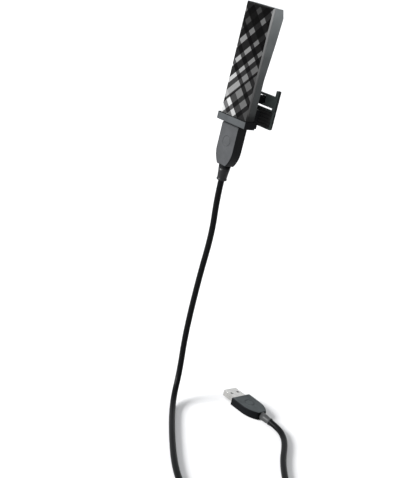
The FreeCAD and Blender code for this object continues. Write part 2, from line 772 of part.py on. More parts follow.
def cable_tube(name, points):
    """The cable along a route, checked against its section times its length."""
    path, radii = rounded_path(points)
    radius = SIZES["cable_diameter"] / 2
    direction = Vector(*points[1]) - Vector(*points[0])
    profile = Part.Wire(Part.Circle(Vector(*points[0]), direction, radius).toShape())
    shape = path.makePipeShell([profile], True, False)
    expected = math.pi * radius ** 2 * path.Length
    print("%s: length %.1f, volume %.1f of %.1f, radii %s" % (
        name, path.Length, shape.Volume, expected, " ".join("%.1f" % r for r in radii)))
    if abs(shape.Volume / expected - 1) > 0.02:
        raise ValueError(name + " has the wrong volume")
    thing = DOC.addObject("Part::Feature", name)
    thing.Shape = shape
    return node(thing, name)


def cable_coil():
    """The outer shape of the spare length, wound into a flat round coil."""
    body = new_body("cable_coil")
    section = rectangle(sketch_on(body, "XZ_Plane"), ("coil_inner", "coil_outer"),
                        ("0", "coil_top - coil_foot"))
    ring = body.newObject("PartDesign::Revolution", "cable_coil_ring")
    ring.Profile = section
    ring.ReferenceAxis = (section, ["V_Axis"])
    ring.Angle = 360
    DOC.recompute()
    soften(body, "Fillet", "coil_round", lambda m, e: isinstance(e.Curve, Part.Circle))
    return node(lay(body, ALONG_Z, "coil_x", "coil_y", "coil_foot"), "cable_coil")


def cable_tie(coil):
    """A hook-and-loop strap round the coil's turns."""
    strap = box("strap", ("coil_x + coil_inner - tie_thick", "coil_x + coil_outer + tie_thick"),
                ("coil_y - tie_wide / 2", "coil_y + tie_wide / 2"),
                ("coil_foot - tie_thick", "coil_top + tie_thick"))
    return node(cut("cable_tie", strap, coil), "cable_tie")


# ---- the whole object ----


def build():
    fill_sheet()
    front_cover()
    rear_shell()
    circuit_board()
    shield_can()
    radio_chip()
    antenna("left")
    antenna("right")
    small_parts()
    button_and_light()
    type_a_plug("usb_plug", UPSIDE_DOWN, "0", "plug_y", "stick_foot")
    cradle_body()
    ribbed_pad("front_pad", ("1 - leg_half", "leg_half - 1"), ("leg_back", "0"),
               ("collar_foot + 0.6", "leg_top - 0.6"), False, 5)
    hinge_pin()
    torsion_spring()
    clamp_jaw()
    ribbed_pad("jaw_pad", ("2 - jaw_half", "jaw_half - 2"), ("pad_face", "pad_seat"),
               ("jaw_foot + 0.7", "window_foot - 1.3"), True, 4)
    type_a_socket("socket", "0", "plug_y", "collar_floor")
    socket_grip()
    relief("socket_relief", ALONG_Z, "0", "plug_y", "grip_top - socket_grip_length - socket_relief_length")
    cable_tube("cable_drop", DROP_ROUTE)
    coil = cable_coil()
    cable_tie(coil)
    cable_tube("cable_lead", LEAD_ROUTE)
    relief("plug_relief", TOWARDS_MINUS_X, "far_plug_x + plug_grip_length + plug_relief_length", "far_plug_y",
           PLUG_MIDDLE)
    plug_grip()
    type_a_plug("far_plug", TOWARDS_MINUS_X, "far_plug_x", "far_plug_y", PLUG_MIDDLE)
    DOC.recompute()


def check():
    """Stop if any object failed or any sub-part is not a sound solid."""
    for thing in DOC.Objects:
        if "Invalid" in thing.State or "Error" in thing.State:
            raise RuntimeError("%s failed: %s" % (thing.Name, thing.State))
    labels = [thing.Label for thing in NODES]
    if len(set(labels)) != len(labels):
        raise RuntimeError("two sub-parts share a name")
    for thing in NODES:
        if thing.Shape.isNull() or not thing.Shape.isValid() or not thing.Shape.Solids:
            raise RuntimeError("%s is not a sound solid" % thing.Label)


def export():
    os.makedirs("parts", exist_ok=True)
    for thing in NODES:
        thing.Shape.exportStep(os.path.join("parts", thing.Label + ".step"))
        print("%-18s %d solid(s), %.1f mm3" % (thing.Label, len(thing.Shape.Solids), thing.Shape.Volume))


build()
check()
export()
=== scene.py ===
"""The looks of a usb wifi stick in its clip-on cradle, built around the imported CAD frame. Metres."""
import math
from collections import namedtuple

import bmesh
import bpy
from mathutils import Matrix, Vector


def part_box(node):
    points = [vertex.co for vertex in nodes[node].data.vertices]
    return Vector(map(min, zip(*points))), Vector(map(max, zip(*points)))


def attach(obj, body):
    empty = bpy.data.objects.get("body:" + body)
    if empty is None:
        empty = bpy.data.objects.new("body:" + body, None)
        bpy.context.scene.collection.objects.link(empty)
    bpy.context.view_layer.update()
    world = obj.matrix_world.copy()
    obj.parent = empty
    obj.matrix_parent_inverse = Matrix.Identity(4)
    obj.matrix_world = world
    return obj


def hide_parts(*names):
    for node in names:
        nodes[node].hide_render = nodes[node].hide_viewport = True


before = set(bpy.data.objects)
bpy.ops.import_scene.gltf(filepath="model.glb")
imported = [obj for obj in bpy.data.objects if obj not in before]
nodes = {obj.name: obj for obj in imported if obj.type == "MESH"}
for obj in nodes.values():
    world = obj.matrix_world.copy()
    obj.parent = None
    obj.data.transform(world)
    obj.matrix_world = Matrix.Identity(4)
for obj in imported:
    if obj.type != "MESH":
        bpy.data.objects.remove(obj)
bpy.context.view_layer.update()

MM = 0.001
TABLE = -225.0 * MM


def mm(*values):
    return Vector(values) * MM


# ---- camera ----

LENS = 67.3
CAMERA_PLACE = mm(431.0, -440.4, 90.8)
CAMERA_FORWARD = Vector((-0.67808, 0.67084, -0.30032))
CAMERA_UP = Vector((-0.37527, 0.03533, 0.92624))


def make_camera():
    data = bpy.data.cameras.new("camera")
    data.sensor_width = 36.0
    data.lens = LENS
    data.clip_start = 0.01
    camera = bpy.data.objects.new("camera", data)
    forward = CAMERA_FORWARD.normalized()
    right = forward.cross(CAMERA_UP).normalized()
    up = right.cross(forward)
    place = Matrix((right, up, -forward)).transposed().to_4x4()
    place.translation = CAMERA_PLACE
    camera.matrix_world = place
    bpy.context.scene.collection.objects.link(camera)
    bpy.context.scene.camera = camera


make_camera()

# ---- the cable's route ----

CABLE = 4.4
LYING = -222.8

# down from the socket's strain relief, over onto the table, and away to the coil
DROP = [
    (0.0, -11.3, -55.6),
    (0.0, -11.1, -70.0),
    (0.0, -7.6, -96.0),
    (-0.6, -8.9, -131.0),
    (-0.3, -9.0, -176.0),
    (1.6, -7.2, -207.0),
    (13.0, -18.5, LYING),
    (46.0, -46.0, LYING),
    (86.0, -75.0, LYING),
    (112.0, -85.6, LYING),
    (135.6, -83.5, LYING),
]

# off the top of the coil, over its outer turn, along the table, and up into the plug
LEAD = [
    (154.8, -34.2, -217.5),
    (145.0, -25.3, -218.2),
    (133.6, -16.6, -222.3),
    (119.0, -5.2, LYING),
    (105.0, 7.5, LYING),
    (91.8, 22.9, LYING),
    (82.9, 30.6, -222.6),
    (73.9, 34.2, -222.1),
    (64.9, 34.4, -221.9),
]

COIL_MIDDLE = (141.0, -56.0)
COIL_TURNS = 4.36
# how far round from +x the coil is entered, in turns
COIL_ENTRY = -0.25
POINTS_A_TURN = 16
OUTER_RING = 26.5
RING_STEP = 4.5
LOWER_LAYER = -222.1
LAYER_STEP = 4.46

# the stretches of the coil, in turns from its start, over which it changes ring or layer
FIRST_STEP_IN = (0.8, 1.0)
SECOND_STEP_IN = (1.8, 2.0)
CLIMB = (2.5, 2.7)
HALF_STEP_OUT = (2.6, 2.78)
LAST_STEP_OUT = (3.38, 3.6)


def eased(start, end, value):
    """0 before start, 1 after end, and a smooth rise between."""
    share = min(max((value - start) / (end - start), 0.0), 1.0)
    return share * share * (3.0 - 2.0 * share)


def ring_radius(turn):
    """Three rings inward on the table, then two outward above them, over the grooves between."""
    inward = RING_STEP * (eased(*FIRST_STEP_IN, turn) + eased(*SECOND_STEP_IN, turn))
    outward = RING_STEP * (0.5 * eased(*HALF_STEP_OUT, turn) + eased(*LAST_STEP_OUT, turn))
    return OUTER_RING - inward + outward


def coil_points():
    """The spline's points round the coil."""
    points = []
    # a quadratic spline runs inside its points, so they stand out by this much
    swell = 1.0 / math.cos(math.pi / POINTS_A_TURN)
    for index in range(1, int(COIL_TURNS * POINTS_A_TURN) + 1):
        turn = index / POINTS_A_TURN
        angle = (turn + COIL_ENTRY) * 2.0 * math.pi
        radius = ring_radius(turn) * swell
        points.append((COIL_MIDDLE[0] + radius * math.cos(angle), COIL_MIDDLE[1] + radius * math.sin(angle),
                       LOWER_LAYER + LAYER_STEP * eased(*CLIMB, turn)))
    return points


def make_cable():
    data = bpy.data.curves.new("cable", "CURVE")
    data.dimensions = "3D"
    data.resolution_u = 12
    data.bevel_depth = 1.0
    data.bevel_resolution = 6
    data.use_fill_caps = True
    spline = data.splines.new("NURBS")
    route = DROP + coil_points() + LEAD
    spline.points.add(len(route) - 1)
    for point, place in zip(spline.points, route):
        point.co = (*mm(*place), 1.0)
        point.radius = CABLE / 2 * MM
    spline.order_u = 3
    spline.use_endpoint_u = True
    cable = bpy.data.objects.new("cable", data)
    bpy.context.scene.collection.objects.link(cable)
    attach(cable, "cradle")
    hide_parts("cable_drop", "cable_coil", "cable_lead")
    return cable


cable = make_cable()

# ---- finishes ----

# the stretch of a noise's values that is spread out: the narrower one gives more contrast
NOISE_RANGE = (0.25, 0.75)
STRONG_NOISE_RANGE = (0.3, 0.7)
PATCH_SHADE = 0.10
ROUGHNESS_SWING = 0.08


class Finish:
    """A material: one Principled shader, and short ways to wire procedural nodes into it."""

    def __init__(self, name, colour, roughness, **sockets):
        self.material = bpy.data.materials.new(name)
        self.material.use_nodes = True
        self.tree = self.material.node_tree
        self.shader = self.tree.nodes["Principled BSDF"]
        self.set(Base_Color=(*colour, 1.0), Roughness=roughness, **sockets)
        coordinates = self.add("TexCoord")
        self.place = coordinates.outputs["Object"]
        self.facing = coordinates.outputs["Normal"]

    def feed(self, socket, value):
        if isinstance(value, bpy.types.NodeSocket):
            self.tree.links.new(value, socket)
        else:
            socket.default_value = value

    def set(self, **sockets):
        for name, value in sockets.items():
            self.feed(self.shader.inputs[name.replace("_", " ")], value)

    def add(self, kind, settings=None, **inputs):
        made = self.tree.nodes.new("ShaderNode" + kind)
        for name, value in (settings or {}).items():
            setattr(made, name, value)
        for name, value in inputs.items():
            self.feed(made.inputs[name.replace("_", " ")], value)
        return made

    def maths(self, operation, *values, clamp=False):
        made = self.add("Math", {"operation": operation, "use_clamp": clamp})
        for socket, value in zip(made.inputs, values):
            self.feed(socket, value)
        return made.outputs[0]

    def axes(self, vector):
        return self.add("SeparateXYZ", Vector=vector).outputs

    def span(self, value, start, end, low=0.0, high=1.0):
        """low where value is at start or under, high at end or over, and a smooth rise between."""
        made = self.add("MapRange", {"interpolation_type": "SMOOTHSTEP"}, Value=value)
        for socket, number in zip(made.inputs[1:5], (start, end, low, high)):
            socket.default_value = number
        return made.outputs[0]

    def ramp(self, distance, tones, steps=False):
        """A grey tone read from (millimetres, tone) pairs, joined by slopes or held as steps."""
        first, last = tones[0][0], tones[-1][0]
        share = self.maths("MULTIPLY_ADD", distance, 1.0 / (last - first), -first / (last - first))
        made = self.add("ValToRGB", Fac=share)
        stops = made.color_ramp
        stops.interpolation = "CONSTANT" if steps else "EASE"
        while len(stops.elements) < len(tones):
            stops.elements.new(1.0)
        for stop, (start, tone) in zip(stops.elements, tones):
            stop.position = (start - first) / (last - first)
            stop.color = (tone, tone, tone, 1.0)
        return self.axes(made.outputs[0])[0]

    def mix(self, amount, first, second, blend="MIX"):
        made = self.add("Mix", {"data_type": "RGBA", "blend_type": blend})
        self.feed(made.inputs[0], amount)
        self.feed(made.inputs[6], first)
        self.feed(made.inputs[7], second)
        return made.outputs[2]

    def noise(self, size, detail=2.0, stretch=(1.0, 1.0, 1.0)):
        """Noise with lumps about size millimetres across, from 0 to 1."""
        place = self.add("Mapping", Vector=self.place, Scale=stretch).outputs[0]
        return self.add("TexNoise", Vector=place, Scale=1.0 / (size * MM), Detail=detail).outputs["Fac"]

    def bump(self, height, depth):
        """Raises the surface by depth millimetres where height is 1."""
        made = self.add("Bump", Height=height, Distance=depth * MM)
        self.set(Normal=made.outputs[0])

    def tinted(self, colour, size, amount):
        """colour, lighter and darker by amount in soft patches of size millimetres."""
        shade = self.span(self.noise(size), *STRONG_NOISE_RANGE, 1.0 - amount, 1.0 + amount)
        if not isinstance(colour, bpy.types.NodeSocket):
            colour = (*colour, 1.0)
        return self.mix(1.0, colour, self.grey(shade), "MULTIPLY")

    def grey(self, value):
        return self.add("CombineColor", Red=value, Green=value, Blue=value).outputs[0]


def moulded(name, colour, roughness, grain=0.35, depth=0.02, **sockets):
    """Moulded plastic or rubber: soft colour patches, and a fine spark-eroded grain."""
    made = Finish(name, colour, roughness, **sockets)
    made.set(Base_Color=made.tinted(colour, 9.0, PATCH_SHADE))
    grit = made.noise(grain, 3.0)
    made.set(Roughness=made.span(grit, *NOISE_RANGE, roughness - ROUGHNESS_SWING,
                                 roughness + ROUGHNESS_SWING))
    made.bump(grit, depth)
    return made


def painted_light_moulding(name, face, side, roughness, axis, **sockets):
    """Moulded plastic painted with light and shade: its broad faces, across axis, are painted paler than
    its sides, and they have an eroded texture.
    """
    made = Finish(name, face, roughness, **sockets)
    across = made.maths("ABSOLUTE", made.axes(made.facing)[axis])
    broad = made.span(across, 0.72, 0.96)
    # painted light and shade: face is the painted lit colour of the broad faces, side the painted shaded
    # colour of the sides
    colour = made.mix(broad, (*side, 1.0), (*face, 1.0))
    made.set(Base_Color=made.tinted(colour, 7.0, PATCH_SHADE))
    grit = made.noise(0.32, 3.0)
    rough = made.span(broad, 0.0, 1.0, roughness - 0.12, roughness)
    made.set(Roughness=made.maths("MULTIPLY_ADD", grit, 0.1, rough))
    made.bump(made.maths("MULTIPLY", grit, broad), 0.03)
    return made


def metal(name, colour, roughness, stretch=(1.0, 1.0, 1.0)):
    """Plated or drawn metal, with faint drawing lines along the axis that stretch shrinks."""
    made = Finish(name, colour, roughness, Metallic=1.0)
    lines = made.noise(0.25, 3.0, stretch)
    made.set(Base_Color=made.tinted(colour, 4.0, 0.06))
    made.set(Roughness=made.span(lines, *STRONG_NOISE_RANGE, roughness - 0.07, roughness + 0.1))
    made.bump(lines, 0.004)
    return made


# the printed tartan: each band starts at a distance along one diagonal and has a tone of its own, and
# ACROSS_LOW takes over from ACROSS where UPWARD's diagonal is under LOW_TURN
# the band tones fall off along the diagonal towards the top end and +x: a painted reflection laid over the
# print
ACROSS = [(-30.0, 0.62), (-8.0, 0.88), (-4.6, 0.78), (7.7, 0.34), (11.0, 0.66), (16.6, 0.29), (20.4, 0.54),
          (26.6, 0.19), (30.0, 0.45), (34.8, 0.16), (41.4, 0.43), (45.6, 0.19), (52.3, 0.45)]
ACROSS_LOW = [(-30.0, 0.90), (-11.6, 0.50), (-7.8, 0.87), (-4.4, 0.33), (1.6, 0.52), (7.8, 0.20),
              (11.2, 0.44), (16.6, 0.20), (20.4, 0.36)]
UPWARD = [(-30.0, 0.66), (-10.0, 0.36), (-7.0, 0.92), (-2.2, 0.44), (1.0, 1.0), (6.3, 0.33), (8.2, 0.82),
          (12.4, 0.38), (15.8, 1.0), (18.6, 0.30), (23.9, 1.06), (27.0, 0.32), (33.0, 1.08), (36.6, 0.28),
          (41.3, 0.66), (45.3, 0.33), (50.0, 1.1)]
LOW_TURN = 7.5
HATCH_PITCH = 0.9
HATCH_STRENGTH = 0.07
CROSS_HATCH_SHARE = 0.4
HATCH_DEPTH = 0.004
PRINT_GAIN = 0.375
PRINT_POWER = 2.6

# painted light and shade on the case and the cover's bevel, going up the stick: painted shadow at the foot
# by the collar, growing paler towards the top
PAINTED_LIGHT_TONES = [(-13.2, 0.004), (-8.0, 0.010), (-3.0, 0.036), (12.0, 0.050), (28.0, 0.074), (42.0, 0.108),
              (66.0, 0.178)]
CASE_TINT = (0.97, 1.03, 1.04, 1.0)


def tartan():
    """Gloss black cover: a printed diagonal tartan with a painted reflection, fine print lines, and painted
    light on its bevel and sides, paler up the stick, with painted shade on its ends.
    """
    made = Finish("tartan_cover", (0.02, 0.02, 0.02), 0.24, Specular_IOR_Level=0.02, Coat_Weight=0.03,
                  Coat_Roughness=0.06)
    x, _, z = made.axes(made.place)
    diagonal = math.sqrt(0.5) / MM
    along = made.maths("MULTIPLY", made.maths("ADD", x, z), diagonal)
    upward = made.maths("MULTIPLY", made.maths("SUBTRACT", z, x), diagonal)
    low = made.maths("LESS_THAN", upward, LOW_TURN)
    across = made.maths("MULTIPLY", made.ramp(along, ACROSS, True), made.maths("SUBTRACT", 1.0, low))
    across_low = made.maths("MULTIPLY", made.ramp(along, ACROSS_LOW, True), low)
    tone = made.maths("MULTIPLY", made.maths("ADD", across, across_low), made.ramp(upward, UPWARD, True))
    hatch = made.maths("SINE", made.maths("MULTIPLY", upward, 2.0 * math.pi / HATCH_PITCH))
    cross_hatch = made.maths("SINE", made.maths("MULTIPLY", along, 2.0 * math.pi / HATCH_PITCH))
    hatches = made.maths("ADD", hatch, made.maths("MULTIPLY", cross_hatch, CROSS_HATCH_SHARE))
    print_lines = made.maths("MULTIPLY_ADD", hatches, HATCH_STRENGTH, 1.0)
    tone = made.maths("MULTIPLY", tone, print_lines)
    albedo = made.maths("MULTIPLY", made.maths("POWER", tone, PRINT_POWER), PRINT_GAIN)
    facing = made.axes(made.facing)
    front = made.span(made.maths("ABSOLUTE", facing[1]), 0.8, 0.97)
    # painted light: faces turned towards x, the bevel to the sides among them, take a pale tone that grows
    # up the stick, and faces turned towards the ends are painted dark
    side = made.span(made.maths("ABSOLUTE", facing[0]), 0.2, 0.5, 0.05, 1.05)
    pale = made.maths("MULTIPLY", made.ramp(made.maths("DIVIDE", z, MM), PAINTED_LIGHT_TONES), side)
    made.set(Base_Color=made.mix(front, made.grey(pale), made.grey(albedo)))
    made.set(Roughness=made.span(made.noise(14.0), *STRONG_NOISE_RANGE, 0.2, 0.3))
    made.bump(made.maths("ADD", hatch, cross_hatch), HATCH_DEPTH)
    return made


def case_grey():
    """The stick's back shell: satin grey, with painted shadow at its foot and painted light making it much
    paler towards its top end.
    """
    made = Finish("case_grey", (0.1, 0.1, 0.1), 0.5, Specular_IOR_Level=0.08)
    # painted light and shade: the shell's tone runs from painted shadow at the foot to painted light at the
    # top
    tone = made.ramp(made.maths("DIVIDE", made.axes(made.place)[2], MM), PAINTED_LIGHT_TONES)
    colour = made.mix(1.0, made.grey(tone), CASE_TINT, "MULTIPLY")
    made.set(Base_Color=made.tinted(colour, 12.0, 0.08))
    grit = made.noise(0.3, 3.0)
    made.set(Roughness=made.span(grit, *NOISE_RANGE, 0.42, 0.56))
    made.bump(grit, 0.02)
    return made


def circuit_green():
    """Solder mask over a grid of tracks."""
    made = Finish("circuit_green", (0.01, 0.08, 0.03), 0.35, Specular_IOR_Level=0.5)
    tracks = made.add("TexBrick", Vector=made.place, Scale=1.0 / (6.0 * MM), Mortar_Size=0.04,
                      Color1=(0.010, 0.085, 0.034, 1.0), Color2=(0.012, 0.11, 0.045, 1.0),
                      Mortar=(0.02, 0.16, 0.06, 1.0))
    made.set(Base_Color=made.tinted(tracks.outputs["Color"], 5.0, 0.15))
    made.bump(tracks.outputs["Fac"], 0.03)
    return made


def woven_strap():
    """Hook-and-loop tape: a fine fuzzy weave."""
    made = Finish("woven_strap", (0.02, 0.021, 0.023), 0.9, Specular_IOR_Level=0.2, Sheen_Weight=0.4)
    weave = made.add("TexWave", {"wave_type": "BANDS", "bands_direction": "DIAGONAL"}, Vector=made.place,
                     Scale=0.6 / MM, Distortion=1.5, Detail=2.0, Detail_Scale=3.0).outputs["Fac"]
    fuzz = made.noise(0.15, 4.0)
    made.set(Base_Color=made.mix(weave, (0.012, 0.013, 0.014, 1.0), (0.045, 0.047, 0.05, 1.0)))
    made.bump(made.maths("MULTIPLY", weave, fuzz), 0.12)
    return made


def clear_pipe():
    """The light's pipe: clear plastic, lightly frosted."""
    made = Finish("clear_pipe", (0.85, 0.9, 0.95), 0.18, Transmission_Weight=0.7, IOR=1.49)
    made.set(Roughness=made.span(made.noise(0.6), *STRONG_NOISE_RANGE, 0.12, 0.3))
    return made


FINISHES = {
    "tartan": tartan(),
    "case": case_grey(),
    "button": moulded("button_grey", (0.06, 0.063, 0.066), 0.45, Specular_IOR_Level=0.3),
    # the cradle's and clamp's paler faces and darker sides are painted light and shade of one plastic
    "cradle": painted_light_moulding("cradle_black", (0.041, 0.044, 0.046), (0.003, 0.0034, 0.004), 0.5, 1,
                       Specular_IOR_Level=0.04),
    "jaw": painted_light_moulding("clamp_black", (0.052, 0.062, 0.060), (0.008, 0.010, 0.010), 0.5, 1,
                    Specular_IOR_Level=0.06),
    "rubber": moulded("grip_rubber", (0.012, 0.012, 0.012), 0.8, 0.5, 0.05, Specular_IOR_Level=0.2),
    "steel": metal("spring_steel", (0.045, 0.045, 0.048), 0.34, (0.1, 1.0, 1.0)),
    "nickel": metal("plug_nickel", (0.44, 0.435, 0.42), 0.24, (1.0, 1.0, 0.12)),
    "can": metal("can_steel", (0.68, 0.68, 0.66), 0.32, (0.15, 1.0, 1.0)),
    "antenna": metal("antenna_metal", (0.72, 0.68, 0.56), 0.3, (1.0, 1.0, 0.15)),
    "gold": metal("contact_gold", (0.9, 0.62, 0.22), 0.22, (1.0, 1.0, 0.15)),
    "tongue": moulded("tongue_black", (0.012, 0.012, 0.013), 0.45, 0.2),
    "board": circuit_green(),
    "chip": moulded("chip_black", (0.015, 0.015, 0.016), 0.55, 0.15),
    "heat_pad": moulded("heat_pad", (0.42, 0.42, 0.44), 0.8, 0.4, 0.04),
    "ceramic": moulded("capacitor_tan", (0.45, 0.32, 0.2), 0.5, 0.15),
    "switch": moulded("switch_white", (0.75, 0.75, 0.73), 0.4, 0.2),
    "pipe": clear_pipe(),
    "led": moulded("led_white", (0.8, 0.82, 0.8), 0.3, 0.2),
    # the grips' paler broad faces and darker sides are painted light and shade of one moulding
    "grip_socket": painted_light_moulding("moulding_socket", (0.041, 0.0425, 0.0445), (0.004, 0.0045, 0.005), 0.52, 1,
                            Specular_IOR_Level=0.05),
    "grip_plug": painted_light_moulding("moulding_plug", (0.040, 0.045, 0.047), (0.003, 0.0034, 0.004), 0.52, 2,
                          Specular_IOR_Level=0.04),
    "relief": moulded("relief_rubber", (0.004, 0.0043, 0.0047), 0.42, 0.3, 0.02, Specular_IOR_Level=0.22),
    "relief_plug": moulded("relief_rubber_pale", (0.030, 0.031, 0.032), 0.46, 0.3, 0.02,
                           Specular_IOR_Level=0.16),
    "jacket": moulded("cable_jacket", (0.0025, 0.0027, 0.003), 0.38, 0.25, 0.01, Specular_IOR_Level=0.05),
    "strap": woven_strap(),
}

NODE_FINISHES = {
    "tartan": ["front_cover"],
    "case": ["rear_shell"],
    "button": ["wps_button"],
    "cradle": ["cradle_body"],
    "jaw": ["clamp_jaw"],
    "rubber": ["front_pad", "jaw_pad"],
    "steel": ["hinge_pin", "torsion_spring"],
    "nickel": ["socket_shell", "usb_plug_shell", "far_plug_shell"],
    "can": ["shield_can", "crystal"],
    "antenna": ["antenna_left", "antenna_right"],
    "gold": ["socket_contacts", "usb_plug_contacts", "far_plug_contacts"],
    "tongue": ["socket_tongue", "usb_plug_tongue", "far_plug_tongue"],
    "board": ["circuit_board"],
    "chip": ["wifi_chip", "memory_chip"],
    "heat_pad": ["thermal_pad"],
    "ceramic": ["chip_capacitors"],
    "switch": ["wps_switch"],
    "pipe": ["light_pipe"],
    "led": ["activity_led"],
}


def finish(thing, name):
    """Gives every material slot of thing one finish."""
    if not thing.data.materials:
        thing.data.materials.append(None)
    for slot in thing.material_slots:
        slot.material = FINISHES[name].material


for finish_name, names in NODE_FINISHES.items():
    for name in names:
        finish(nodes[name], finish_name)
finish(cable, "jacket")

# ---- rounded edges on the CAD nodes that show ----

EDGE_ROUNDS = {
    "front_cover": 0.12,
    "rear_shell": 0.12,
    "cradle_body": 0.18,
    "clamp_jaw": 0.15,
    "wps_button": 0.2,
    "front_pad": 0.12,
    "jaw_pad": 0.12,
    "usb_plug_shell": 0.05,
    "far_plug_shell": 0.05,
}
EDGE_ANGLE = math.radians(34.0)
FLAT_ANGLE = math.radians(0.4)
WELD_GAP = 0.002
# nodes whose flat faces are each merged into one before the bevel, because their long thin triangles
# shade as pale streaks beside the light's hole
LEVELLED = {"rear_shell"}


def round_edges(thing, width):
    weld = thing.modifiers.new("weld", "WELD")
    weld.merge_threshold = WELD_GAP * MM
    if thing.name in LEVELLED:
        flatten = thing.modifiers.new("flatten", "DECIMATE")
        flatten.decimate_type = "DISSOLVE"
        flatten.angle_limit = FLAT_ANGLE
    bevel = thing.modifiers.new("round", "BEVEL")
    bevel.width = width * MM
    bevel.segments = 2
    bevel.limit_method = "ANGLE"
    bevel.angle_limit = EDGE_ANGLE
    thing.modifiers.new("shade", "WEIGHTED_NORMAL").keep_sharp = False


for name, width in EDGE_ROUNDS.items():
    round_edges(nodes[name], width)

# ---- pieces built as meshes ----

SEAM_GAP = 0.001


def put(name, made, place, body, finish_name, replaced):
    """Turns a bmesh into a smooth-shaded piece on a body, in place of a CAD node."""
    bmesh.ops.remove_doubles(made, verts=made.verts, dist=SEAM_GAP * MM)
    bmesh.ops.recalc_face_normals(made, faces=made.faces)
    data = bpy.data.meshes.new(name)
    made.to_mesh(data)
    made.free()
    data.transform(place)
    data.shade_smooth()
    thing = bpy.data.objects.new(name, data)
    bpy.context.scene.collection.objects.link(thing)
    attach(thing, body)
    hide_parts(replaced)
    finish(thing, finish_name)
    thing.modifiers.new("shade", "WEIGHTED_NORMAL").keep_sharp = True
    return thing


def loop_of(made, points):
    return [made.verts.new(point) for point in points]


def bridge(made, first, second):
    """Quads between two closed loops of the same length."""
    count = len(first)
    for index in range(count):
        after = (index + 1) % count
        made.faces.new((first[index], first[after], second[after], second[index]))


def lathe(profile, segments=48):
    """A closed solid of revolution about Z from (height, radius) pairs; both ends are capped."""
    made = bmesh.new()
    loops = []
    for height, radius in profile:
        loops.append(loop_of(made, [mm(radius * math.cos(step * math.tau / segments),
                                       radius * math.sin(step * math.tau / segments), height)
                                    for step in range(segments)]))
    for first, second in zip(loops, loops[1:]):
        bridge(made, first, second)
    made.faces.new(loops[0])
    made.faces.new(loops[-1])
    return made


# strain reliefs

RELIEF_TAPER = 0.8
RELIEF_RIM = 0.28
RIM_LENGTH = 1.3
RIM_SLOPE = 0.35
RIM_SHOULDER_DROP = 0.08
RIM_SHOULDER_LENGTH = 0.2
RIM_STEPS = 6


def relief_profile(length, wide, narrow):
    """Down from the grip: a plain taper, then a low rim round the cable, rounded at its far edge."""
    rim = narrow + RELIEF_RIM
    rim_start = length - RIM_LENGTH
    taper_end = rim_start - RIM_SLOPE
    profile = [(0.0, wide), (-taper_end / 2, (wide + narrow) / 2), (-taper_end, narrow),
               (-rim_start, rim - RIM_SHOULDER_DROP), (-(rim_start + RIM_SHOULDER_LENGTH), rim)]
    for step in range(RIM_STEPS + 1):
        angle = step / RIM_STEPS * math.pi / 2
        profile.append((-length + RIM_LENGTH / 2 * (1.0 - math.sin(angle)),
                        rim - RIM_LENGTH / 2 * (1.0 - math.cos(angle))))
    return profile


# grips

Grip = namedtuple("Grip", "half thick length corner tip shoulder mark")
SOCKET_GRIP = Grip(half=8.6, thick=8.6, length=29.0, corner=23.7, tip=4.5, shoulder=18.4, mark=12.0)
PLUG_GRIP = Grip(half=9.2, thick=6.2, length=25.0, corner=19.0, tip=3.8, shoulder=17.0, mark=10.5)
MOUTH_ROUND = 0.5
MOUTH_CORNER = 0.15
SIDE_STEPS = 5
SHOULDER_STEPS = 14
EDGE_ROUND = 0.8
EDGE_STEPS = 5
NECK_WALL = 0.9
CUT_MARGIN = 1.0

# the ring pressed into a broad face, and its section: places across it and depths there, as shares of
# MARK_HALF and MARK_DEPTH
MARK_RADIUS = 3.6
MARK_HALF = 0.5
MARK_DEPTH = 0.36
MARK_SECTION = [(1.0, 0.0), (0.55, 0.8), (0.0, 1.0), (-0.55, 0.8), (-1.0, 0.0)]
MARK_SEGMENTS = 40


def grip_outline(grip):
    """A grip seen from its broad face, from the mouth's corner down one side and up the other."""
    turn = math.atan2(grip.half - grip.tip, grip.length - grip.corner)
    start = grip.corner - grip.shoulder * math.tan(turn / 2)
    half = [(grip.half - MOUTH_ROUND, 0.0), (grip.half - MOUTH_CORNER, -MOUTH_CORNER),
            (grip.half, -MOUTH_ROUND)]
    half += [(grip.half, -start * step / SIDE_STEPS) for step in range(1, SIDE_STEPS)]
    for step in range(SHOULDER_STEPS + 1):
        angle = turn * step / SHOULDER_STEPS
        half.append((grip.half - grip.shoulder + grip.shoulder * math.cos(angle),
                     -start - grip.shoulder * math.sin(angle)))
    half.append((grip.tip, -grip.length))
    return half + [(-x, z) for x, z in reversed(half)]


def shrunk(outline, inset):
    """The outline moved inward by inset, corner by corner."""
    moved = []
    count = len(outline)
    for index, (x, z) in enumerate(outline):
        before, after = Vector(outline[index - 1]), Vector(outline[(index + 1) % count])
        here = Vector((x, z))
        first, second = (here - before).normalized(), (after - here).normalized()
        inward = Vector((first.y, -first.x)) + Vector((second.y, -second.x))
        inward.normalize()
        stretch = 1.0 / max(inward.dot(Vector((first.y, -first.x))), 0.5)
        moved.append(here + inward * inset * stretch)
    return [(point.x, point.y) for point in moved]


def fill_between(made, outer, inner):
    """Triangles between an outer loop and an inner one that it surrounds."""
    edges = []
    for loop in (outer, inner):
        for index, vert in enumerate(loop):
            other = loop[index - 1]
            edges.append(made.edges.get((vert, other)) or made.edges.new((vert, other)))
    bmesh.ops.triangle_fill(made, use_beauty=True, edges=edges)


def grip_face(made, rim, level, side, mark):
    """A broad face: flat, with a shallow plain ring pressed into it, mark below the mouth."""
    circles = []
    for offset, share in MARK_SECTION:
        radius = MARK_RADIUS + MARK_HALF * offset
        depth = level - side * MARK_DEPTH * share
        circles.append(loop_of(made, [mm(radius * math.cos(step * math.tau / MARK_SEGMENTS), depth,
                                         -mark + radius * math.sin(step * math.tau / MARK_SEGMENTS))
                                      for step in range(MARK_SEGMENTS)]))
    fill_between(made, rim, circles[0])
    for first, second in zip(circles, circles[1:]):
        bridge(made, first, second)
    made.faces.new(circles[-1])


